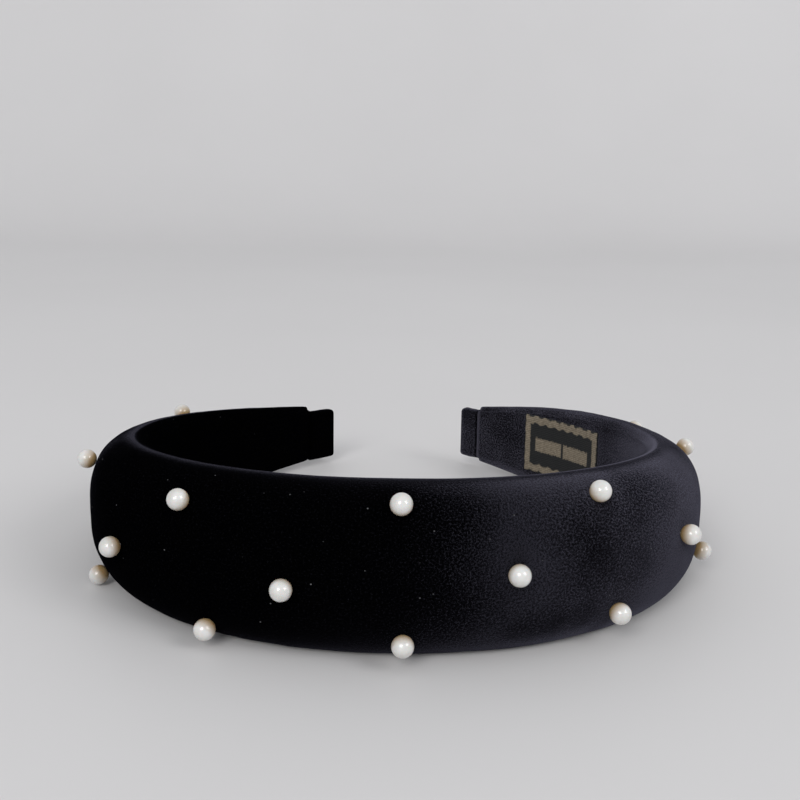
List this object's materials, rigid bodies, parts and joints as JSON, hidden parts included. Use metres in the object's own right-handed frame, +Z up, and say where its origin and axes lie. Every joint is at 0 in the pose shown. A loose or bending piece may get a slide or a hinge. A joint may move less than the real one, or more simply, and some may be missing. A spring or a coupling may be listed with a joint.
{
  "type": "padded headband",
  "caption": "Wide padded velvet headband set with small round pearls, lying on its edge; it springs open at the crown to grip the head.",
  "frame": {"origin": "middle of the object's footprint, on the surface it stands on", "axes": "+Z up, across the band's width; the crown faces -Y and the tips point to +Y; +X to the wearer's left arm, on the right in a front view"},
  "size_m": [0.1722, 0.1598, 0.0394],
  "materials": {
    "velvet": "short dense pile, deep black with a soft sheen at grazing angles",
    "sleeve_velvet": "short dense pile, pulled tight over the tips",
    "lining": "flat woven ribbon, faint satin sheen",
    "label": "woven damask label with a plain dull gold border",
    "foam": "open-cell foam, matt",
    "core_plastic": "moulded, satin",
    "pearl": "pearlescent lacquer over plastic, ivory white",
    "pin_steel": "bright drawn wire"
  },
  "bodies": {
    "left_half": {"velvet_cover_left": "velvet", "foam_pad_left": "foam", "spring_core_left": "core_plastic", "lining_ribbon_left": "lining", "tip_sleeve_left": "sleeve_velvet", "pearl_left_1": "pearl", "pin_left_1": "pin_steel", "pearl_left_2_top": "pearl", "pin_left_2_top": "pin_steel", "pearl_left_2_bottom": "pearl", "pin_left_2_bottom": "pin_steel", "pearl_left_3": "pearl", "pin_left_3": "pin_steel", "pearl_left_4_top": "pearl", "pin_left_4_top": "pin_steel", "pearl_left_4_bottom": "pearl", "pin_left_4_bottom": "pin_steel", "pearl_left_5": "pearl", "pin_left_5": "pin_steel", "pearl_left_6_top": "pearl", "pin_left_6_top": "pin_steel", "pearl_left_6_bottom": "pearl", "pin_left_6_bottom": "pin_steel"},
    "right_half": {"velvet_cover_right": "velvet", "foam_pad_right": "foam", "spring_core_right": "core_plastic", "lining_ribbon_right": "lining", "tip_sleeve_right": "sleeve_velvet", "woven_label": "label", "pearl_middle_top": "pearl", "pin_middle_top": "pin_steel", "pearl_middle_bottom": "pearl", "pin_middle_bottom": "pin_steel", "pearl_right_1": "pearl", "pin_right_1": "pin_steel", "pearl_right_2_top": "pearl", "pin_right_2_top": "pin_steel", "pearl_right_2_bottom": "pearl", "pin_right_2_bottom": "pin_steel", "pearl_right_3": "pearl", "pin_right_3": "pin_steel", "pearl_right_4_top": "pearl", "pin_right_4_top": "pin_steel", "pearl_right_4_bottom": "pearl", "pin_right_4_bottom": "pin_steel", "pearl_right_5": "pearl", "pin_right_5": "pin_steel", "pearl_right_6_top": "pearl", "pin_right_6_top": "pin_steel", "pearl_right_6_bottom": "pearl", "pin_right_6_bottom": "pin_steel"}
  },
  "joints": [
    {"name": "band_spread", "type": "hinge", "parent": "left_half", "child": "right_half", "pos_m": [0, -0.07608, 0.01985], "axis": [0, -0.0489, -0.9988], "range_deg": [0, 18], "stiffness_Nm_per_rad": 0.6}
  ]
}
